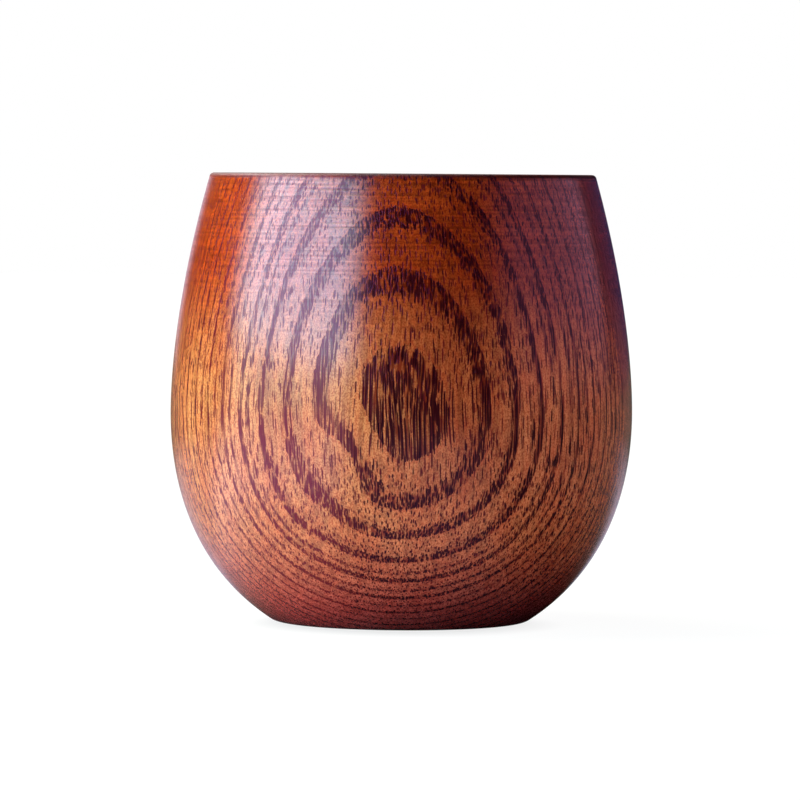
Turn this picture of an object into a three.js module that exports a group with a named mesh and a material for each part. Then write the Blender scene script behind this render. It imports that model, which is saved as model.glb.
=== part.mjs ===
// A wooden cup, turned on a lathe from one block of wood: a barrel-shaped tumbler with no handle,
// lid, liner or other separate piece. Sizes are in millimetres and angles are in degrees.
// +Z is up and is the turning axis. The origin is the centre of the plane that the foot stands on.
import * as THREE from "three";

// The outside wall, from the foot to the lip
const height = 77.5;
const bellyRadius = 40.0;
const bellyHeight = 36.2;
const rimRadius = 33.5;
const rimLean = 15.6; // how far the wall leans inwards at the lip, from the vertical
const rimHandle = 23.0; // how long the wall keeps that lean, as a curve handle
const bellyHandleAbove = 3.9; // how long the wall stays upright above the belly
const bellyHandleBelow = 11.8; // and below it
const flareAngle = 33.4; // how steeply the wall leaves the foot, from the horizontal
const flareHandle = 16.5; // how long the wall keeps that flare

// The foot that the cup stands on, with a shallow recess turned into its underside
const footFlatRadius = 21.0;
const footEdgeRadius = 3.0;
const footRingWidth = 4.0;
const recessDepth = 1.2;
const recessCoveRadius = 0.8;
const footInnerEdgeRadius = 0.3;

// The wall's thickness and the hollow inside
const wallAtRim = 3.2;
const wallAtBelly = 4.0;
const floorHeight = 7.5; // top of the floor above the plane that the foot stands on
const bowlHandle = 20.0; // how long the inside stays upright below the belly
const floorHandle = 25.0; // how long the floor stays level from its centre

// The lip: a flat land between two softened edges
const lipOuterRadius = 0.8;
const lipInnerRadius = 1.0;

// How finely the round shapes are cut
const stepsAround = 72;
const stepsPerCurve = 9;
const stepsPerEdge = 4;
const stepsPerSmallEdge = 3;

const woodColour = 0xa55a2a;
const lacquerRoughness = 0.35;

const radians = (angle) => THREE.MathUtils.degToRad(angle);
const at = (radius, z) => new THREE.Vector2(radius, z);

// A point at a distance from another, in a direction measured from the horizontal.
function along(point, angle, distance) {
  const turn = radians(angle);
  return at(point.x + distance * Math.cos(turn), point.y + distance * Math.sin(turn));
}

// A round edge about a centre, from one angle to another, both ends included.
function edge(centre, radius, from, to, steps) {
  return Array.from({ length: steps + 1 }, (_, i) =>
    along(centre, from + ((to - from) * i) / steps, radius),
  );
}

// A smooth stretch of wall between two points, each with the handle that sets its direction there.
function sweep(start, startHandle, endHandle, end) {
  return new THREE.CubicBezierCurve(start, startHandle, endHandle, end).getPoints(stepsPerCurve);
}

// The underside, from the axis out to where the wall leaves the foot.
function footOutline() {
  const recessRadius = footFlatRadius - footRingWidth;
  const coveCentre = at(recessRadius - recessCoveRadius, recessDepth - recessCoveRadius);
  const innerEdgeCentre = at(recessRadius + footInnerEdgeRadius, footInnerEdgeRadius);
  const outerEdgeCentre = at(footFlatRadius, footEdgeRadius);
  return [
    at(0, recessDepth),
    ...edge(coveCentre, recessCoveRadius, 90, 0, stepsPerSmallEdge),
    ...edge(innerEdgeCentre, footInnerEdgeRadius, 180, 270, stepsPerSmallEdge),
    ...edge(outerEdgeCentre, footEdgeRadius, -90, flareAngle - 90, stepsPerEdge),
  ];
}

// The outside, from the foot up over the belly to the start of the lip.
function outsideOutline(foot, lipStart) {
  const belly = at(bellyRadius, bellyHeight);
  return [
    ...sweep(
      foot,
      along(foot, flareAngle, flareHandle),
      along(belly, -90, bellyHandleBelow),
      belly,
    ),
    ...sweep(
      belly,
      along(belly, 90, bellyHandleAbove),
      along(lipStart, rimLean - 90, rimHandle),
      lipStart,
    ),
  ];
}

// The lip, from the outside wall over the flat land to the inside wall.
function lipOutline() {
  const outer = Math.min(lipOuterRadius, wallAtRim / 2);
  const inner = Math.min(lipInnerRadius, wallAtRim / 2);
  const innerRimRadius = rimRadius - wallAtRim;
  return [
    ...edge(at(rimRadius - outer, height - outer), outer, rimLean, 90, stepsPerEdge),
    ...edge(at(innerRimRadius + inner, height - inner), inner, 90, 180 + rimLean, stepsPerEdge),
  ];
}

// The hollow, from the inside of the lip down over the belly to the middle of the floor.
function insideOutline(lipEnd) {
  const belly = at(bellyRadius - wallAtBelly, bellyHeight);
  const floorCentre = at(0, floorHeight);
  return [
    ...sweep(
      lipEnd,
      along(lipEnd, rimLean - 90, rimHandle),
      along(belly, 90, bellyHandleAbove),
      belly,
    ),
    ...sweep(
      belly,
      along(belly, -90, bowlHandle),
      along(floorCentre, 0, floorHandle),
      floorCentre,
    ),
  ];
}

// The whole outline, from the axis on the underside round to the axis on the floor.
function cupOutline() {
  const foot = footOutline();
  const lip = lipOutline();
  const outline = [
    ...foot,
    ...outsideOutline(foot.at(-1), lip[0]),
    ...lip,
    ...insideOutline(lip.at(-1)),
  ];
  const tooClose = 1e-3;
  return outline.filter((point, i) => i === 0 || point.distanceTo(outline[i - 1]) > tooClose);
}

function makeCupBody() {
  const geometry = new THREE.LatheGeometry(cupOutline(), stepsAround);
  geometry.rotateX(Math.PI / 2); // the lathe turns about Y, and the cup stands along Z
  const material = new THREE.MeshStandardMaterial({
    color: woodColour,
    roughness: lacquerRoughness,
    metalness: 0,
  });
  const body = new THREE.Mesh(geometry, material);
  body.name = "cup_body";
  return body;
}

const cup = new THREE.Group();
cup.add(makeCupBody());

export default cup;
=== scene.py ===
import math

import bpy
from mathutils import Matrix


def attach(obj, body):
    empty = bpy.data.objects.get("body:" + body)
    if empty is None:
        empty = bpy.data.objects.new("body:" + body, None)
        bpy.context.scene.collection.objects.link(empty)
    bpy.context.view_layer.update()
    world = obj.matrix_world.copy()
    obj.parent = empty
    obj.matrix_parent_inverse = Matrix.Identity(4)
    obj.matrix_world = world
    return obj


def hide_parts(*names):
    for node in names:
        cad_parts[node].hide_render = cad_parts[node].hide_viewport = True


# A lacquered wooden cup, turned from one block. The wood is worked out in space: the growth rings,
# pores and fibres run on from the outside over the lip, down the hollow and across the foot.

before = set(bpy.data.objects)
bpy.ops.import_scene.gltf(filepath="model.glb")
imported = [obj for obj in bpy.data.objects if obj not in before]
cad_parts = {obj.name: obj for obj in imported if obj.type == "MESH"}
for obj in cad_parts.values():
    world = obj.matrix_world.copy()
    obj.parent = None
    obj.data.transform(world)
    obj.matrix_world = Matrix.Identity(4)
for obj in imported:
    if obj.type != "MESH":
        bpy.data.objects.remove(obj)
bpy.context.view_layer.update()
print("The frame is loaded:", ", ".join(sorted(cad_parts)))

mm = 0.001
number = "NodeSocketFloat"
triple = "NodeSocketVector"
white = (1.0, 1.0, 1.0)
flattened = (1.0, 1.0, 0.0)  # keeps the X and Y of a place and drops its Z
noiseMiddle = 0.5            # what noise swings about


# Node helpers

def feed(tree, node, inputs):
    for key, value in inputs.items():
        if isinstance(value, bpy.types.NodeSocket):
            tree.links.new(value, node.inputs[key])
        else:
            node.inputs[key].default_value = value


def addNode(tree, kind, inputs, **settings):
    node = tree.nodes.new(kind)
    for name, value in settings.items():
        setattr(node, name, value)
    feed(tree, node, inputs)
    return node


def calc(tree, operation, *values):
    return addNode(tree, "ShaderNodeMath", dict(enumerate(values)), operation=operation).outputs[0]


def plus(tree, first, second):
    return calc(tree, "ADD", first, second)


def minus(tree, first, second):
    return calc(tree, "SUBTRACT", first, second)


def times(tree, first, second):
    return calc(tree, "MULTIPLY", first, second)


def calcVector(tree, operation, *values):
    node = addNode(tree, "ShaderNodeVectorMath", dict(enumerate(values)), operation=operation)
    return node.outputs["Value" if operation in ("LENGTH", "DOT_PRODUCT") else "Vector"]


def scaled(tree, place, factor):
    node = addNode(tree, "ShaderNodeVectorMath", {0: place, "Scale": factor}, operation="SCALE")
    return node.outputs["Vector"]


def joined(tree, x, y, z):
    return addNode(tree, "ShaderNodeCombineXYZ", {"X": x, "Y": y, "Z": z}).outputs[0]


def parts(tree, place):
    return addNode(tree, "ShaderNodeSeparateXYZ", {0: place}).outputs


# A change is where it starts and where it ends, and the value at each if they aren't 0 and 1. It eases
# in and out between them.
def ease(tree, value, change, curve="SMOOTHSTEP"):
    start, end, low, high = (*change, 0.0, 1.0)[:4]
    inputs = {"Value": value, "From Min": start, "From Max": end, "To Min": low, "To Max": high}
    return addNode(tree, "ShaderNodeMapRange", inputs, interpolation_type=curve).outputs["Result"]


# From the first value to the second as a mask goes from 0 to 1
def fade(tree, mask, first, second):
    return ease(tree, mask, (0.0, 1.0, first, second), "LINEAR")


# Noise whose patches have a size in X, Y and Z
def noiseAt(tree, place, size, detail, roughness=0.5):
    inputs = {"Vector": calcVector(tree, "DIVIDE", place, size), "Scale": 1.0, "Detail": detail,
              "Roughness": roughness}
    return addNode(tree, "ShaderNodeTexNoise", inputs).outputs


# A colour gets the fourth number that Blender wants, and a socket stays as it is.
def opaque(rgb):
    return (*rgb, 1.0) if isinstance(rgb, tuple) else rgb


def mixColour(tree, factor, first, second, blend="MIX"):
    node = addNode(tree, "ShaderNodeMix", {0: factor, 6: opaque(first), 7: opaque(second)},
                   data_type="RGBA", blend_type=blend)
    return node.outputs[2]


def grey(tree, value):
    return addNode(tree, "ShaderNodeCombineColor", {0: value, 1: value, 2: value}).outputs[0]


def socketType(value):
    if isinstance(value, str):
        return value
    if isinstance(value, int):
        return "NodeSocketInt"
    return triple if isinstance(value, tuple) else number


# A node group with named inputs and outputs. An input is given by its first value or by its type.
def newGroup(kind, name, inputs, outputs):
    tree = bpy.data.node_groups.new(name, kind)
    for label, value in inputs.items():
        socket = tree.interface.new_socket(label, in_out="INPUT", socket_type=socketType(value))
        if not isinstance(value, str):
            socket.default_value = value
    for label, value in outputs.items():
        tree.interface.new_socket(label, in_out="OUTPUT", socket_type=value)
    return tree, tree.nodes.new("NodeGroupInput").outputs, tree.nodes.new("NodeGroupOutput").inputs


def useGroup(tree, group, inputs):
    node = tree.nodes.new("ShaderNodeGroup")
    node.node_tree = group
    feed(tree, node, inputs)
    return node.outputs


# Camera, at the photograph's angle

camera = dict(
    distance=950 * mm,  # in front of the turning axis
    height=78.6 * mm,   # just above the lip
    side=-0.25 * mm,
    pitchDown=2.43,     # degrees
    roll=0.4,           # degrees
    lens=246.7,
    sensor=36,
    nearest=50 * mm,    # it sees what lies between these distances
    farthest=20000 * mm,
)


def addCamera():
    data = bpy.data.cameras.new("camera")
    data.lens = camera["lens"]
    data.sensor_width = camera["sensor"]
    data.clip_start = camera["nearest"]
    data.clip_end = camera["farthest"]
    eye = bpy.data.objects.new("camera", data)
    bpy.context.scene.collection.objects.link(eye)
    aim = Matrix.Rotation(math.radians(90 - camera["pitchDown"]), 4, "X")
    spin = Matrix.Rotation(math.radians(camera["roll"]), 4, "Z")
    place = Matrix.Translation((camera["side"], -camera["distance"], camera["height"]))
    eye.matrix_world = place @ aim @ spin
    bpy.context.scene.camera = eye


addCamera()
print(f"The camera stands {camera['distance']:.2f} m in front of the cup")


# The cup's shape: an outline turned about Z. Lengths are in metres and angles in degrees.

cup = dict(
    height=77.5 * mm,
    bellyRadius=40.0 * mm,
    bellyHeight=36.2 * mm,
    rimRadius=33.5 * mm,
    rimLean=15.6,                # how far the wall leans inwards at the lip
    rimHandle=23.0 * mm,         # how long it keeps that lean
    bellyHandleAbove=3.9 * mm,   # how long the wall stays upright above the belly
    bellyHandleBelow=11.8 * mm,  # and below it
    flareAngle=33.4,             # how steeply the wall leaves the foot
    flareHandle=16.5 * mm,       # how long it keeps that flare
    footFlatRadius=21.0 * mm,
    footEdgeRadius=3.0 * mm,
    footRingWidth=4.0 * mm,
    recessDepth=1.2 * mm,
    recessCoveRadius=0.8 * mm,
    footInnerEdgeRadius=0.3 * mm,
    wallAtRim=3.2 * mm,
    wallAtBelly=4.0 * mm,
    floorHeight=7.5 * mm,
    bowlHandle=20.0 * mm,        # how long the inside stays upright below the belly
    floorHandle=25.0 * mm,       # how long the floor stays level from its centre
    lipOuterRadius=0.8 * mm,
    lipInnerRadius=1.0 * mm,
    stepsAround=240,
    stepsPerSweep=72,            # points along each stretch of wall
    stepsPerCurve=64,            # how finely a stretch is drawn before its points are spaced out
    stepsPerEdge=10,
    seamGap=0.001 * mm,          # points nearer than this become one
)


def cupSizes():
    return {key: math.radians(value) if key.endswith(("Angle", "Lean")) else value
            for key, value in cup.items()}


# A geometry nodes tree that draws the outline from the sizes and turns it into a closed solid.
# The outline lies in the XY plane, with X as the radius and Y as the height.
def buildLathe():
    tree, size, result = newGroup("GeometryNodeTree", "turnedCup",
                                  {**cupSizes(), "material": "NodeSocketMaterial"},
                                  {"Geometry": "NodeSocketGeometry"})

    def less(first, second):
        return minus(tree, first, second)

    def at(radius, height):
        return addNode(tree, "ShaderNodeCombineXYZ", {"X": radius, "Y": height}).outputs[0]

    # The point at a distance from another, in a direction measured from the horizontal.
    def along(point, angle, distance):
        step = at(times(tree, calc(tree, "COSINE", angle), distance),
                  times(tree, calc(tree, "SINE", angle), distance))
        return calcVector(tree, "ADD", point, step)

    # A round edge about a centre, turning from one angle to another.
    def edge(centre, radius, start, end):
        arc = addNode(tree, "GeometryNodeCurveArc",
                      {"Resolution": size["stepsPerEdge"], "Radius": radius,
                       "Start Angle": start, "Sweep Angle": less(end, start)}, mode="RADIUS")
        return addNode(tree, "GeometryNodeTransform",
                       {"Geometry": arc.outputs[0], "Translation": centre}).outputs[0]

    # A smooth stretch of wall between two points, with a handle at each.
    def sweep(start, startHandle, endHandle, end):
        line = addNode(tree, "GeometryNodeCurvePrimitiveBezierSegment",
                       {"Resolution": size["stepsPerCurve"], "Start": start,
                        "Start Handle": startHandle, "End Handle": endHandle, "End": end},
                       mode="POSITION")
        return addNode(tree, "GeometryNodeResampleCurve",
                       {"Curve": line.outputs[0], "Count": size["stepsPerSweep"]},
                       mode="COUNT").outputs[0]

    quarter = math.pi / 2
    level, up, down = 0.0, quarter, -quarter
    leanIn = less(size["rimLean"], quarter)

    # The foot: the recess, its cove, the ring that it stands on and that ring's outer edge
    recessRadius = less(size["footFlatRadius"], size["footRingWidth"])
    coveStart = less(recessRadius, size["recessCoveRadius"])
    recessCentre = at(0.0, size["recessDepth"])
    recessEnd = at(coveStart, size["recessDepth"])
    recess = sweep(recessCentre, recessCentre, recessEnd, recessEnd)
    cove = edge(at(coveStart, less(size["recessDepth"], size["recessCoveRadius"])),
                size["recessCoveRadius"], quarter, level)
    innerEdge = edge(at(plus(tree, recessRadius, size["footInnerEdgeRadius"]),
                        size["footInnerEdgeRadius"]),
                     size["footInnerEdgeRadius"], 2 * quarter, 3 * quarter)
    outerCentre = at(size["footFlatRadius"], size["footEdgeRadius"])
    footTurn = less(size["flareAngle"], quarter)
    outerEdge = edge(outerCentre, size["footEdgeRadius"], down, footTurn)
    footEnd = along(outerCentre, footTurn, size["footEdgeRadius"])

    # The lip
    lipOuter = at(less(size["rimRadius"], size["lipOuterRadius"]),
                  less(size["height"], size["lipOuterRadius"]))
    innerRim = less(size["rimRadius"], size["wallAtRim"])
    lipInner = at(plus(tree, innerRim, size["lipInnerRadius"]),
                  less(size["height"], size["lipInnerRadius"]))
    lipTurn = plus(tree, size["rimLean"], 2 * quarter)
    outerLip = edge(lipOuter, size["lipOuterRadius"], size["rimLean"], quarter)
    innerLip = edge(lipInner, size["lipInnerRadius"], quarter, lipTurn)
    lipStart = along(lipOuter, size["rimLean"], size["lipOuterRadius"])
    lipEnd = along(lipInner, lipTurn, size["lipInnerRadius"])

    # The walls, outside and inside
    belly = at(size["bellyRadius"], size["bellyHeight"])
    innerBelly = at(less(size["bellyRadius"], size["wallAtBelly"]), size["bellyHeight"])
    floorCentre = at(0.0, size["floorHeight"])
    outsideLow = sweep(footEnd, along(footEnd, size["flareAngle"], size["flareHandle"]),
                       along(belly, down, size["bellyHandleBelow"]), belly)
    outsideHigh = sweep(belly, along(belly, up, size["bellyHandleAbove"]),
                        along(lipStart, leanIn, size["rimHandle"]), lipStart)
    insideHigh = sweep(lipEnd, along(lipEnd, leanIn, size["rimHandle"]),
                       along(innerBelly, up, size["bellyHandleAbove"]), innerBelly)
    insideLow = sweep(innerBelly, along(innerBelly, down, size["bowlHandle"]),
                      along(floorCentre, level, size["floorHandle"]), floorCentre)

    # One outline, from the axis under the foot to the axis on the floor
    outline = tree.nodes.new("GeometryNodeJoinGeometry")
    stretches = [recess, cove, innerEdge, outerEdge, outsideLow, outsideHigh, outerLip, innerLip,
                 insideHigh, insideLow]
    for stretch in reversed(stretches):  # the last link comes first
        tree.links.new(stretch, outline.inputs[0])

    # A grid with a row for each point of the outline and a column for each step of the turn
    domain = addNode(tree, "GeometryNodeAttributeDomainSize", {"Geometry": outline.outputs[0]},
                     component="CURVE")
    columns = plus(tree, size["stepsAround"], 1)
    grid = addNode(tree, "GeometryNodeMeshGrid",
                   {"Vertices X": domain.outputs["Point Count"], "Vertices Y": columns})
    index = tree.nodes.new("GeometryNodeInputIndex").outputs[0]
    row = calc(tree, "FLOOR", calc(tree, "DIVIDE", index, columns))
    column = calc(tree, "MODULO", less(index, times(tree, row, columns)), size["stepsAround"])

    # Each point of the grid goes to its place on the outline, turned about Z
    position = tree.nodes.new("GeometryNodeInputPosition").outputs[0]
    sample = addNode(tree, "GeometryNodeSampleIndex",
                     {"Geometry": outline.outputs[0], "Value": position, "Index": row},
                     data_type="FLOAT_VECTOR", domain="POINT")
    point = parts(tree, sample.outputs[0])
    turn = times(tree, calc(tree, "DIVIDE", column, size["stepsAround"]), 4 * quarter)
    place = joined(tree, times(tree, point["X"], calc(tree, "COSINE", turn)),
                   times(tree, point["X"], calc(tree, "SINE", turn)), point["Y"])
    turned = addNode(tree, "GeometryNodeSetPosition",
                     {"Geometry": grid.outputs["Mesh"], "Position": place}).outputs[0]

    # The seam and the two poles are closed, and the faces point out
    closed = addNode(tree, "GeometryNodeMergeByDistance",
                     {"Geometry": turned, "Distance": size["seamGap"]}).outputs[0]
    outward = addNode(tree, "GeometryNodeFlipFaces", {"Mesh": closed}).outputs[0]
    smooth = addNode(tree, "GeometryNodeSetShadeSmooth", {"Geometry": outward}).outputs[0]
    real = addNode(tree, "GeometryNodeRealizeInstances", {"Geometry": smooth}).outputs[0]
    finished = addNode(tree, "GeometryNodeSetMaterial",
                       {"Geometry": real, "Material": size["material"]}).outputs[0]
    tree.links.new(finished, result["Geometry"])
    return tree


# The wood's pattern. Sizes are in millimetres, measured from the turning axis, with -Y towards the
# camera. Rings are counted from the bark side towards the pith, so depth grows towards the pith. A
# change, as ease takes it, says by what it goes.

wood = dict(
    pithPlace=(0.43, 165.9, 36.0),         # the tree's centre lies far behind the cup
    pithTilt=(0.05, 0.023, 0.0),           # how far it leans in X and Y for each step up
    firstEdge=0.6,                         # depth of the first growth ring's sharp edge
    ringWidth=1.7,
    ringGrowth=0.1,                        # rings get wider with depth
    widestDepth=16.0,                      # but not past this one
    swirlSize=(11.0, 11.0, 22.0),          # slow waves in the rings
    swirlDetail=1.0,
    swirlDepth=0.35,
    raggedSize=(0.55, 0.55, 2.2),          # fine unevenness of their edges
    raggedDetail=2.0,
    raggedDepth=0.27,
    drift=(2.6, 2.6, 0.0),                 # how far the fibres wander as they climb
    bandWidth=(1.0, 6.0, 1.0, 0.5),        # by ring: the bands of pores are narrower further in
    bandStart=(0.95, 0.45),                # by distance to the next edge
    rowPlace=1.2,                          # an extra row of pores, this far past a ring's edge
    rowWidth=(0.30, 0.08),                 # by distance from the row
    rowStrength=(1.5, 2.5, 0.0, 0.75),     # by ring
    crowding=(1.05, 0.50, 0.0, 1.15),      # by distance to the next edge: pores crowd into the band
    crowdEnd=(0.0, 0.07, 0.5, 1.0),        # and thin out right at the edge
    crowdClumps=(0.36, 0.54, 0.74, 1.05),  # by the clumps
    crowdRun=(0.5, 2.5, 8.0, 4.0),         # by ring: how long a crowded pore runs
    crowded=dict(spacing=0.34, width=0.42),
    scattered=dict(spacing=0.42, width=0.30, run=2.8),
    scatterShift=(31.0, 17.0, 5.0),        # keeps the scattered pores apart from the crowded ones
    scatterShare=0.84,
    scatterThinnedLit=0.16,                      # this much of them is missing on the lit left side: painted highlight
)

# Noises in the wood: how far a patch reaches in X, Y and Z, and how much finer the noise gets
noises = dict(
    drift=dict(size=(9.0, 9.0, 22.0), detail=1.0),
    streak=dict(size=(0.70, 0.70, 26.0), detail=1.0),  # long, lighter and darker
    clump=dict(size=(0.50, 0.50, 5.5), detail=1.0),    # where pores stand closer
    fibre=dict(size=(0.20, 0.20, 2.4), detail=3.0, roughness=0.6),
    patch=dict(size=(4.0, 4.0, 14.0), detail=2.0),     # broad warmer places
    fleck=dict(size=(0.24, 0.24, 0.34), detail=1.0),   # short and dark
)

# Places where a ring bends: centre, how far it spreads in X, Y and Z, and how deep it pushes
ringBends = [
    dict(centre=(-9.8, -38.0, 30.0), spread=(4.0, 30.0, 5.0), depth=1.4),
    dict(centre=(-5.7, -37.0, 53.7), spread=(2.5, 30.0, 2.5), depth=-0.3),
    dict(centre=(-18.3, -34.0, 21.0), spread=(3.0, 30.0, 5.0), depth=-0.3),
    dict(centre=(-25.0, -28.0, 61.0), spread=(3.5, 30.0, 12.0), depth=0.4),
]

# A darker patch beside the eye of the rings, spread out in the same way
stain = dict(centre=(10.0, -38.0, 39.0), spread=(6.5, 30.0, 12.0), depth=1.0)


def buildRingBend():
    tree, given, result = newGroup(
        "ShaderNodeTree", "ringBend",
        {"position": triple, "centre": triple, "spread": triple, "depth": number}, {"push": number})
    away = calcVector(tree, "SUBTRACT", given["position"], given["centre"])
    away = calcVector(tree, "DIVIDE", away, given["spread"])
    fall = calc(tree, "EXPONENT", times(tree, calcVector(tree, "DOT_PRODUCT", away, away), -0.5))
    tree.links.new(times(tree, fall, given["depth"]), result["push"])
    return tree


# Growth rings about the pith: each place's ring, how far it lies past that ring's sharp edge, and how
# far before the next one
def buildGrowthRings():
    keys = ["pithPlace", "pithTilt", "firstEdge", "ringWidth", "ringGrowth", "widestDepth",
            "swirlSize", "swirlDepth", "raggedSize", "raggedDepth"]
    tree, given, result = newGroup(
        "ShaderNodeTree", "growthRings",
        {"position": triple, "push": number, **{key: wood[key] for key in keys}},
        {"ring": number, "pastEdge": number, "toNextEdge": number})

    def wave(name):
        noise = noiseAt(tree, given["position"], given[name + "Size"], wood[name + "Detail"])["Fac"]
        return times(tree, minus(tree, noise, noiseMiddle), given[name + "Depth"])

    # How deep each place lies, counted from the front of the belly
    away = calcVector(tree, "SUBTRACT", given["position"], given["pithPlace"])
    lean = scaled(tree, given["pithTilt"], parts(tree, away)["Z"])
    across = calcVector(tree, "MULTIPLY", calcVector(tree, "SUBTRACT", away, lean), flattened)
    front = (0.0, -cup["bellyRadius"] / mm, 0.0)
    front = calcVector(tree, "SUBTRACT", front, given["pithPlace"])
    frontRadius = calcVector(tree, "LENGTH", calcVector(tree, "MULTIPLY", front, flattened))
    depth = minus(tree, frontRadius, calcVector(tree, "LENGTH", across))
    waves = plus(tree, wave("swirl"), wave("ragged"))
    depth = plus(tree, plus(tree, depth, given["push"]), waves)

    # The edge of ring n lies at first + width n + growth n^2, solved here for n
    near = calc(tree, "MINIMUM", depth, given["widestDepth"])
    far = calc(tree, "MAXIMUM", minus(tree, depth, given["widestDepth"]), 0.0)
    past = minus(tree, near, given["firstEdge"])
    square = plus(tree, times(tree, given["ringWidth"], given["ringWidth"]),
                  times(tree, times(tree, past, 4.0), given["ringGrowth"]))
    root = calc(tree, "SQRT", square)
    count = calc(tree, "DIVIDE", minus(tree, root, given["ringWidth"]),
                 times(tree, given["ringGrowth"], 2.0))
    count = plus(tree, count, calc(tree, "DIVIDE", far, root))
    ring = calc(tree, "FLOOR", count)
    phase = minus(tree, count, ring)
    tree.links.new(ring, result["ring"])
    tree.links.new(times(tree, phase, root), result["pastEdge"])
    tree.links.new(times(tree, minus(tree, 1.0, phase), root), result["toNextEdge"])
    return tree


poreShape = dict(
    softness=0.45,                 # how much of a pore's radius its edge takes up
    widths=(0.0, 1.0, 0.65, 1.3),  # from the narrowest pore to the widest, for a width of 1
    ranks=(0.28, 0.72),            # spreads the noise that ranks them
    taper=(0.0, 0.26),             # how gently a pore narrows where it stops
    tip=(0.0, 0.3),                # and pales there
    shuffle=97.0,                  # shifts neighbours along their way
    thinnest=0.001,                # keeps every width above zero
)


# Pores are long tubes along the grain, so a wall that slopes cuts them as dots and an upright wall as
# threads. Each starts and stops at random on its way up.
def buildPores():
    tree, given, result = newGroup(
        "ShaderNodeTree", "pores",
        {"position": triple, "spacing": number, "run": number, "width": number, "share": number,
         "softness": poreShape["softness"]},
        {"pore": number, "tone": number})
    gap = given["spacing"]
    place = calcVector(tree, "DIVIDE", given["position"], joined(tree, gap, gap, gap))
    cells = addNode(tree, "ShaderNodeTexVoronoi", {"Vector": place, "Scale": 1.0, "Randomness": 1.0},
                    voronoi_dimensions="2D", feature="F1")
    pick = addNode(tree, "ShaderNodeSeparateColor", {0: cells.outputs["Color"]}).outputs

    # Where along its way a pore is there
    climb = calc(tree, "DIVIDE", parts(tree, given["position"])["Z"], given["run"])
    along = plus(tree, climb, times(tree, pick["Red"], poreShape["shuffle"]))
    wave = addNode(tree, "ShaderNodeTexNoise", {"W": along, "Scale": 1.0, "Detail": 0.0},
                   noise_dimensions="1D").outputs["Fac"]
    rank = ease(tree, wave, poreShape["ranks"], "LINEAR")
    there = ease(tree, minus(tree, given["share"], rank), poreShape["taper"])

    # How wide it is, and its soft edge
    radius = calc(tree, "DIVIDE", times(tree, given["width"], 0.5), gap)
    radius = times(tree, radius, ease(tree, pick["Green"], poreShape["widths"], "LINEAR"))
    wide = calc(tree, "MAXIMUM", times(tree, radius, there), poreShape["thinnest"])
    core = times(tree, wide, minus(tree, 1.0, given["softness"]))
    dot = ease(tree, cells.outputs["Distance"], (wide, core))
    tree.links.new(times(tree, dot, ease(tree, there, poreShape["tip"])), result["pore"])
    tree.links.new(pick["Blue"], result["tone"])
    return tree


# The finish. Colours are in linear light, depths in metres, and the other sizes in millimetres. A
# change says by what it goes here too.

finish = dict(
    paleWood=(0.48, 0.202, 0.064),
    warmWood=(0.38, 0.102, 0.028),
    fibreWarmth=(0.32, 0.68, 0.0, 0.6),     # by the fibres
    patchWarmth=(0.35, 0.65, 0.0, 0.4),     # by the patches
    fleckWood=(0.20, 0.035, 0.010),
    fleckStrength=(0.42, 0.62, 0.0, 0.65),  # by the flecks
    edgeWood=(0.32, 0.045, 0.012),
    edgeStrength=(0.12, 0.0, 0.0, 0.40),    # by distance past a ring's edge
    bandWood=(0.12, 0.014, 0.004),
    bandStrength=(0.36, 0.60, 0.14, 0.92),  # by the clumps
    bandEnd=(0.0, 0.08),                    # by distance to the next edge
    poreDark=(0.014, 0.0008, 0.0016),
    paleLitPore=(0.080, 0.006, 0.008),         # painted light: the pores are paler and redder on the lit left side
    litLeftSide=(-4.0, -14.0),                 # by X
    poreBrown=(0.11, 0.008, 0.008),
    brownShare=0.5,                         # how brown the brownest scattered pore is
    poreStrength=0.95,
    streakTone=(0.34, 0.62, 0.74, 1.06),    # by the streaks
    stainTone=(0.66, 0.48, 0.42),
    endGrain=(0.86, 1.0, 1.0, 0.65),        # darker where the wall cuts across the fibres
    rimTint=(0.68, 0.25, 0.10),          # darker and redder towards the lip
    rimRise=(38.0, 64.0),                   # by height
    paintedRightShade=(-28.0, 22.0, 0.0, 0.42),      # by X: painted shade, how much darker the wood near the lip is made towards the right, away from the key light
    # darker and more purple towards the bottom
    footTint=(0.68, 0.30, 0.80),
    footRise=(20.0, 0.0),                   # by height: strongest at the bottom
    lipRise=(76.5, 77.2),                   # by height: the top of the lip is darker and duller
    lipTone=0.30,
    lipCoat=0.0,
    lipRoughness=0.55,
    roughness=0.20,
    specularTint=(0.26, 0.05, 0.28),
    coatIor=1.5,
    coatRoughness=0.16,
    poreCoat=0.34,                          # what is left of the lacquer's shine over a pore
    scatteredPit=0.8,                       # how deep a scattered pore's pit is beside a crowded one's
    bandPits=0.35,                          # pores too fine to see take the shine off the bands
    poreDepth=0.02 * mm,
    fibreDepth=0.004 * mm,
    markDepth=0.012 * mm,
    markPitch=0.42,                         # between two turning marks
    markReach=16.0,                         # how far a mark runs round the cup before it fades
    markDetail=1.0,
    markSwing=(0.3, 0.7, -1.0, 1.0),        # by the marks' noise
    markRise=(44.0, 68.0, 0.2, 1.0),        # by height
    markTone=0.28,
    markShine=(-1.0, 1.0, 0.55, 1.0),       # by the marks: how much shine the lacquer keeps
)


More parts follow.
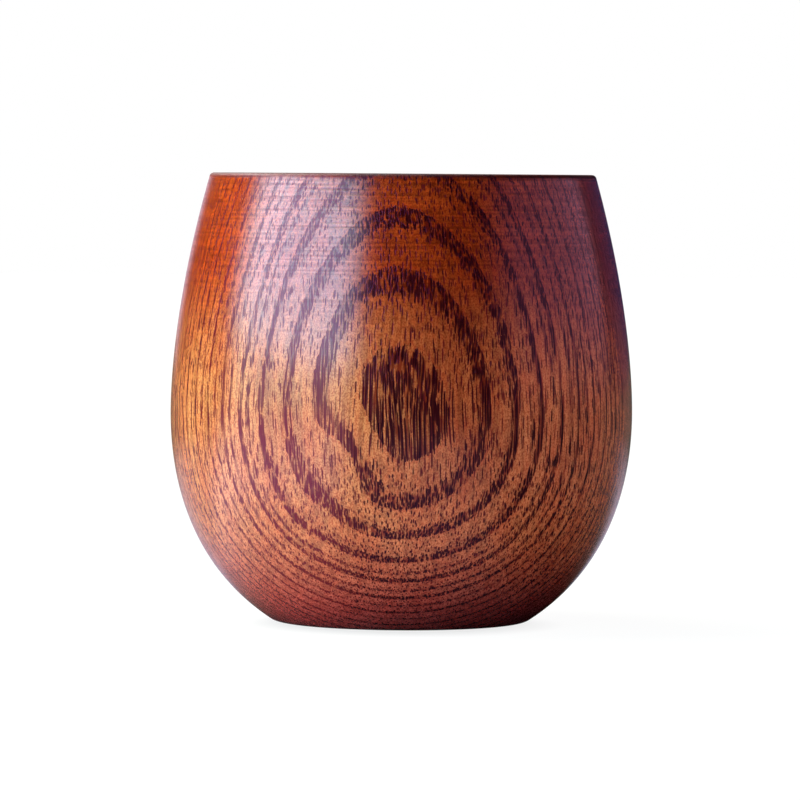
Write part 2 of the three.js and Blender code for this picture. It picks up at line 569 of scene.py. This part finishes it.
# Fine marks that the turning tool leaves round the cup, each fading in and out along its way
def buildTurningMarks():
    tree, given, result = newGroup(
        "ShaderNodeTree", "turningMarks",
        {"position": triple, "pitch": finish["markPitch"], "reach": finish["markReach"]},
        {"mark": number})
    part = parts(tree, given["position"])
    turn = times(tree, calc(tree, "ARCTAN2", part["Y"], part["X"]),
                 calc(tree, "DIVIDE", cup["bellyRadius"] / mm, given["reach"]))
    flat = calcVector(tree, "MULTIPLY", given["position"], flattened)
    outwards = calc(tree, "DIVIDE", calcVector(tree, "LENGTH", flat), given["pitch"])
    place = joined(tree, turn, outwards, calc(tree, "DIVIDE", part["Z"], given["pitch"]))
    noise = addNode(tree, "ShaderNodeTexNoise",
                    {"Vector": place, "Scale": 1.0, "Detail": finish["markDetail"]}).outputs["Fac"]
    tree.links.new(ease(tree, noise, finish["markSwing"], "LINEAR"), result["mark"])
    return tree


def buildLacqueredWood():
    material = bpy.data.materials.new("lacqueredWood")
    material.use_nodes = True
    tree = material.node_tree
    places = tree.nodes.new("ShaderNodeTexCoord").outputs
    position = scaled(tree, places["Object"], 1 / mm)
    part = parts(tree, position)

    # Growth rings, bent at a few places
    bend = buildRingBend()
    push = 0.0
    for place in ringBends:
        push = plus(tree, push, useGroup(tree, bend, {"position": position, **place})["push"])
    rings = useGroup(tree, buildGrowthRings(), {"position": position, "push": push})

    # Fibres that wander a little as they climb
    sway = noiseAt(tree, position, **noises["drift"])["Color"]
    sway = calcVector(tree, "SUBTRACT", sway, (noiseMiddle, noiseMiddle, noiseMiddle))
    grain = calcVector(tree, "ADD", position, calcVector(tree, "MULTIPLY", sway, wood["drift"]))
    fibre = noiseAt(tree, grain, **noises["fibre"])["Fac"]
    patch = noiseAt(tree, grain, **noises["patch"])["Fac"]
    clump = noiseAt(tree, grain, **noises["clump"])["Fac"]
    streak = noiseAt(tree, grain, **noises["streak"])["Fac"]
    fleck = noiseAt(tree, position, **noises["fleck"])["Fac"]

    # The bands before each ring's edge, and the extra row of pores between them
    narrow = ease(tree, rings["ring"], wood["bandWidth"], "LINEAR")
    ahead = calc(tree, "DIVIDE", rings["toNextEdge"], narrow)
    band = ease(tree, ahead, wood["bandStart"])
    offRow = calc(tree, "ABSOLUTE", minus(tree, rings["pastEdge"], wood["rowPlace"]))
    row = times(tree, ease(tree, offRow, wood["rowWidth"]),
                ease(tree, rings["ring"], wood["rowStrength"]))

    # Pores, crowded into clumps in the bands and scattered between them
    # The lit left side, where painted light makes the pores paler and fewer
    left = ease(tree, part["X"], finish["litLeftSide"])
    crowd = calc(tree, "MAXIMUM", ease(tree, ahead, wood["crowding"]), row)
    crowd = times(tree, crowd, ease(tree, ahead, wood["crowdEnd"]))
    crowd = times(tree, crowd, ease(tree, clump, wood["crowdClumps"]))
    run = ease(tree, rings["ring"], wood["crowdRun"], "LINEAR")
    pores = buildPores()
    crowded = useGroup(tree, pores,
                       {"position": grain, "run": run, "share": crowd, **wood["crowded"]})
    elsewhere = calcVector(tree, "ADD", grain, wood["scatterShift"])
    # Painted highlight: fewer scattered pores on the lit left side
    share = minus(tree, wood["scatterShare"], times(tree, left, wood["scatterThinnedLit"]))
    scattered = useGroup(tree, pores,
                         {"position": elsewhere, "share": share, **wood["scattered"]})

    # Wood between the pores: pale and warm fibres, darker flecks, a reddish line where each ring
    # starts, and the brown bands
    warmth = plus(tree, ease(tree, fibre, finish["fibreWarmth"]),
                  ease(tree, patch, finish["patchWarmth"]))
    redness = ease(tree, rings["pastEdge"], finish["edgeStrength"])
    brown = calc(tree, "MAXIMUM", times(tree, band, ease(tree, ahead, finish["bandEnd"])), row)
    brown = times(tree, brown, ease(tree, clump, finish["bandStrength"]))
    tint = mixColour(tree, warmth, finish["paleWood"], finish["warmWood"])
    tint = mixColour(tree, ease(tree, fleck, finish["fleckStrength"]), tint, finish["fleckWood"])
    tint = mixColour(tree, redness, tint, finish["edgeWood"])
    tint = mixColour(tree, brown, tint, finish["bandWood"])

    # How light it is: the cut fibre ends, the turning marks, the lip, the streaks, and painted shade
    # over the upper right
    marks = useGroup(tree, buildTurningMarks(), {"position": position})["mark"]
    marked = times(tree, marks, ease(tree, part["Z"], finish["markRise"]))
    rim = ease(tree, part["Z"], finish["rimRise"])
    lip = ease(tree, part["Z"], finish["lipRise"])
    ends = calc(tree, "ABSOLUTE", parts(tree, places["Normal"])["Z"])
    light = ease(tree, ends, finish["endGrain"])
    light = times(tree, light, plus(tree, 1.0, times(tree, marked, finish["markTone"])))
    light = times(tree, light, fade(tree, lip, 1.0, finish["lipTone"]))
    light = times(tree, light, ease(tree, streak, finish["streakTone"]))
    # Painted shade: the wood near the lip is made darker towards the right, as the key light falls from
    # the left
    shade = times(tree, rim, ease(tree, part["X"], finish["paintedRightShade"]))
    light = times(tree, light, minus(tree, 1.0, shade))

    # The stain, and the colour growing darker towards the lip and towards the bottom
    stained = useGroup(tree, bend, {"position": position, **stain})["push"]
    foot = ease(tree, part["Z"], finish["footRise"])
    tint = mixColour(tree, stained, tint, finish["stainTone"], "MULTIPLY")
    tint = mixColour(tree, 1.0, tint, grey(tree, light), "MULTIPLY")
    tint = mixColour(tree, rim, tint, finish["rimTint"], "MULTIPLY")
    tint = mixColour(tree, foot, tint, finish["footTint"], "MULTIPLY")

    # The pores go on top, paler and redder on the lit left side as painted light
    darkPore = mixColour(tree, left, finish["poreDark"], finish["paleLitPore"])
    brownness = times(tree, scattered["tone"], finish["brownShare"])
    brownPore = mixColour(tree, brownness, darkPore, finish["poreBrown"])
    tint = mixColour(tree, times(tree, scattered["pore"], finish["poreStrength"]), tint, brownPore)
    tint = mixColour(tree, times(tree, crowded["pore"], finish["poreStrength"]), tint, darkPore)

    # Lacquer that is thin and sunken over the pores, and follows the fibres and the turning marks
    pit = calc(tree, "MAXIMUM", crowded["pore"],
               times(tree, scattered["pore"], finish["scatteredPit"]))
    dull = calc(tree, "MAXIMUM", pit, times(tree, band, finish["bandPits"]))
    coat = times(tree, fade(tree, lip, 1.0, finish["lipCoat"]),
                 ease(tree, marked, finish["markShine"], "LINEAR"))
    coat = times(tree, coat, fade(tree, dull, 1.0, finish["poreCoat"]))
    relief = minus(tree, times(tree, marked, finish["markDepth"]),
                   times(tree, pit, finish["poreDepth"]))
    relief = plus(tree, relief, times(tree, fibre, finish["fibreDepth"]))
    bump = addNode(tree, "ShaderNodeBump", {"Height": relief, "Strength": 1.0, "Distance": 1.0})
    feed(tree, tree.nodes["Principled BSDF"], {
        "Base Color": tint,
        "Roughness": fade(tree, lip, finish["roughness"], finish["lipRoughness"]),
        "Normal": bump.outputs[0],
        "Coat Weight": coat,
        "Coat Roughness": finish["coatRoughness"],
        "Coat IOR": finish["coatIor"],
        "Specular Tint": opaque(finish["specularTint"]),
    })
    print("The wood is laid and lacquered, with", len(ringBends), "bends in its rings")
    return material


# Turns a piece that a modifier makes into a plain mesh.
def plainMesh(piece):
    graph = bpy.context.evaluated_depsgraph_get()
    mesh = bpy.data.meshes.new_from_object(piece.evaluated_get(graph), depsgraph=graph)
    piece.modifiers.clear()
    piece.data = mesh


def turnCup():
    piece = bpy.data.objects.new("turned_cup", bpy.data.meshes.new("turned_cup"))
    bpy.context.scene.collection.objects.link(piece)
    tree = buildLathe()
    modifier = piece.modifiers.new("lathe", "NODES")
    modifier.node_group = tree
    values = {**cupSizes(), "material": buildLacqueredWood()}
    for socket in tree.interface.items_tree:
        if socket.in_out == "INPUT":
            modifier[socket.identifier] = values[socket.name]
    plainMesh(piece)
    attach(piece, "root")
    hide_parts("cup_body")
    print("The cup is turned:", len(piece.data.polygons), "faces")


turnCup()


# The studio: a pale floor, and a surround that holds soft lights. Distances are from the turning axis.

studio = dict(
    floorSize=6.0,
    floorColour=(0.81, 0.48, 0.60),              # what the floor gives back to the cup
    floorSeen=(0.035, 0.035, 0.035),             # its colour in view and in the lacquer, under the glow
    floorGlow=0.97,                              # makes the floor white in the camera's view
    floorTint=(1.0, 0.88, 1.22),                 # the glow's colour where the lacquer mirrors it
    mirrorStart=(24 * mm, 52 * mm),              # painted shade: the mirrored glow is left out under the cup and grows out from it
    mirrorEnd=(450 * mm, 120 * mm, 0.0, 0.40),   # and fades towards the table's end
    keyGloss=(26 * mm, 110 * mm, 0.0, 2.0),      # the key light's gloss on the floor, past the cup
    contactPlace=(0.0, -7 * mm, 0.0),            # the middle of the soft shade at the foot
    contactShade=(17 * mm, 30 * mm, 0.84, 1.0),  # how much of the glow is left there
    surroundLight=(0.01, 0.01, 0.01),
)

# Each soft light's direction from the cup and its size in degrees, how gently its sides fade, and its
# brightness. Azimuth 0 is towards the camera and grows to the right.
softLights = dict(
    key=dict(azimuth=-59, halfWidth=23, leftFade=26, rightFade=20, bottom=12, top=28, lowFade=6,
             highFade=8, brightness=10.9, colour=(0.53, 0.95, 1.07)),
    keyLow=dict(azimuth=-62, halfWidth=23, leftFade=18, rightFade=18, bottom=2, top=8, lowFade=5,
                highFade=6, brightness=3.4, colour=(0.58, 1.0, 0.90)),
    upper=dict(azimuth=-110, halfWidth=34, leftFade=26, rightFade=6, bottom=32, top=57, lowFade=3,
               highFade=8, brightness=19.6, colour=(0.94, 1.0, 0.85)),
    back=dict(azimuth=-173, halfWidth=7, leftFade=8, rightFade=14, bottom=0, top=6, lowFade=4,
              highFade=12, brightness=0.6, colour=(1.0, 0.80, 1.0)),
    backRight=dict(azimuth=158, halfWidth=16, leftFade=14, rightFade=12, bottom=0, top=16, lowFade=4,
                   highFade=14, brightness=0.08, colour=(0.45, 0.25, 1.0)),
    sideCard=dict(azimuth=96, halfWidth=26, leftFade=29, rightFade=13, bottom=12, top=20, lowFade=16,
                  highFade=14, brightness=0.80, colour=(0.92, 0.50, 0.80)),
)

# The side of the table that the lacquer mirrors, given as a light is
openTable = dict(azimuth=-96, halfWidth=113, leftFade=30, rightFade=36, bottom=0, top=45, lowFade=5,
                 highFade=5)


# How strongly a soft light shines from a direction, from 0 to 1
def buildSoftLight():
    tree, given, result = newGroup("ShaderNodeTree", "softLight",
                                   {"direction": triple, **dict.fromkeys(openTable, number)},
                                   {"light": number})
    angle = calc(tree, "RADIANS", times(tree, given["azimuth"], -1.0))
    turned = addNode(tree, "ShaderNodeVectorRotate",
                     {"Vector": given["direction"], "Angle": angle}, rotation_type="Z_AXIS")
    part = parts(tree, turned.outputs[0])
    ahead = times(tree, part["Y"], -1.0)
    across = calc(tree, "DEGREES", calc(tree, "ARCTAN2", part["X"], ahead))
    rise = calc(tree, "DEGREES", calc(tree, "ARCSINE", part["Z"]))
    left = times(tree, given["halfWidth"], -1.0)
    light = ease(tree, across, (minus(tree, left, given["leftFade"]), left))
    for way, limit, outside in (
            (across, given["halfWidth"], plus(tree, given["halfWidth"], given["rightFade"])),
            (rise, given["bottom"], minus(tree, given["bottom"], given["lowFade"])),
            (rise, given["top"], plus(tree, given["top"], given["highFade"]))):
        light = times(tree, light, ease(tree, way, (outside, limit)))
    tree.links.new(light, result["light"])
    return tree


softLightGroup = buildSoftLight()


def softLight(tree, light, direction):
    inputs = {key: light[key] for key in openTable}
    return useGroup(tree, softLightGroup, {"direction": direction, **inputs})["light"]


def buildPaleFloor():
    material = bpy.data.materials.new("paleFloor")
    material.use_nodes = True
    tree = material.node_tree
    tree.nodes.clear()
    path = tree.nodes.new("ShaderNodeLightPath").outputs
    mirrored = calc(tree, "MAXIMUM", path["Is Glossy Ray"], path["Is Transmission Ray"])
    place = tree.nodes.new("ShaderNodeTexCoord").outputs["Object"]
    reach = calcVector(tree, "LENGTH", place)
    way = calcVector(tree, "NORMALIZE", place)

    # The table that the lacquer mirrors, in painted shade close to the cup, and the key light's gloss
    # on it
    table = times(tree, ease(tree, reach, studio["mirrorStart"]),
                  ease(tree, reach, studio["mirrorEnd"]))
    table = times(tree, table, softLight(tree, openTable, way))
    gloss = softLight(tree, {**softLights["key"], "bottom": 0}, way)
    gloss = times(tree, gloss, ease(tree, reach, studio["keyGloss"]))

    # White in the camera's view, apart from a soft shade at the foot
    spot = calcVector(tree, "LENGTH", calcVector(tree, "SUBTRACT", place, studio["contactPlace"]))
    inView = times(tree, path["Is Camera Ray"], ease(tree, spot, studio["contactShade"]))
    seen = calc(tree, "MAXIMUM", inView, times(tree, mirrored, plus(tree, table, gloss)))
    glow = addNode(tree, "ShaderNodeEmission",
                   {"Color": mixColour(tree, path["Is Camera Ray"], studio["floorTint"], white),
                    "Strength": times(tree, seen, studio["floorGlow"])}).outputs[0]
    straight = calc(tree, "MAXIMUM", path["Is Camera Ray"], mirrored)
    paint = mixColour(tree, straight, studio["floorColour"], studio["floorSeen"])
    matt = addNode(tree, "ShaderNodeBsdfDiffuse", {"Color": paint}).outputs[0]
    both = addNode(tree, "ShaderNodeAddShader", {0: matt, 1: glow}).outputs[0]

    # It can be looked through from below
    under = tree.nodes.new("ShaderNodeNewGeometry").outputs["Backfacing"]
    clear = tree.nodes.new("ShaderNodeBsdfTransparent").outputs[0]
    surface = addNode(tree, "ShaderNodeMixShader", {0: under, 1: both, 2: clear}).outputs[0]
    addNode(tree, "ShaderNodeOutputMaterial", {"Surface": surface})
    return material


def addFloor():
    half = studio["floorSize"] / 2
    corners = [(-half, -half, 0), (half, -half, 0), (half, half, 0), (-half, half, 0)]
    mesh = bpy.data.meshes.new("floor")
    mesh.from_pydata(corners, [], [(0, 1, 2, 3)])
    mesh.materials.append(buildPaleFloor())
    floor = bpy.data.objects.new("floor", mesh)
    bpy.context.scene.collection.objects.link(floor)


# White in the camera's view, and everywhere else the soft lights in a dim surround
def addSurround():
    world = bpy.data.worlds.new("surround")
    bpy.context.scene.world = world
    world.use_nodes = True
    tree = world.node_tree
    tree.nodes.clear()
    direction = tree.nodes.new("ShaderNodeTexCoord").outputs["Generated"]
    sky = studio["surroundLight"]
    for light in softLights.values():
        strength = times(tree, softLight(tree, light, direction), light["brightness"])
        shine = mixColour(tree, 1.0, grey(tree, strength), light["colour"], "MULTIPLY")
        sky = mixColour(tree, 1.0, sky, shine, "ADD")
    seen = tree.nodes.new("ShaderNodeLightPath").outputs["Is Camera Ray"]
    backdrop = mixColour(tree, seen, sky, white)
    background = addNode(tree, "ShaderNodeBackground", {"Color": backdrop}).outputs[0]
    addNode(tree, "ShaderNodeOutputWorld", {"Surface": background})


addFloor()
addSurround()
bpy.context.scene.view_settings.view_transform = "Standard"
print("The studio holds", len(softLights), "soft lights")
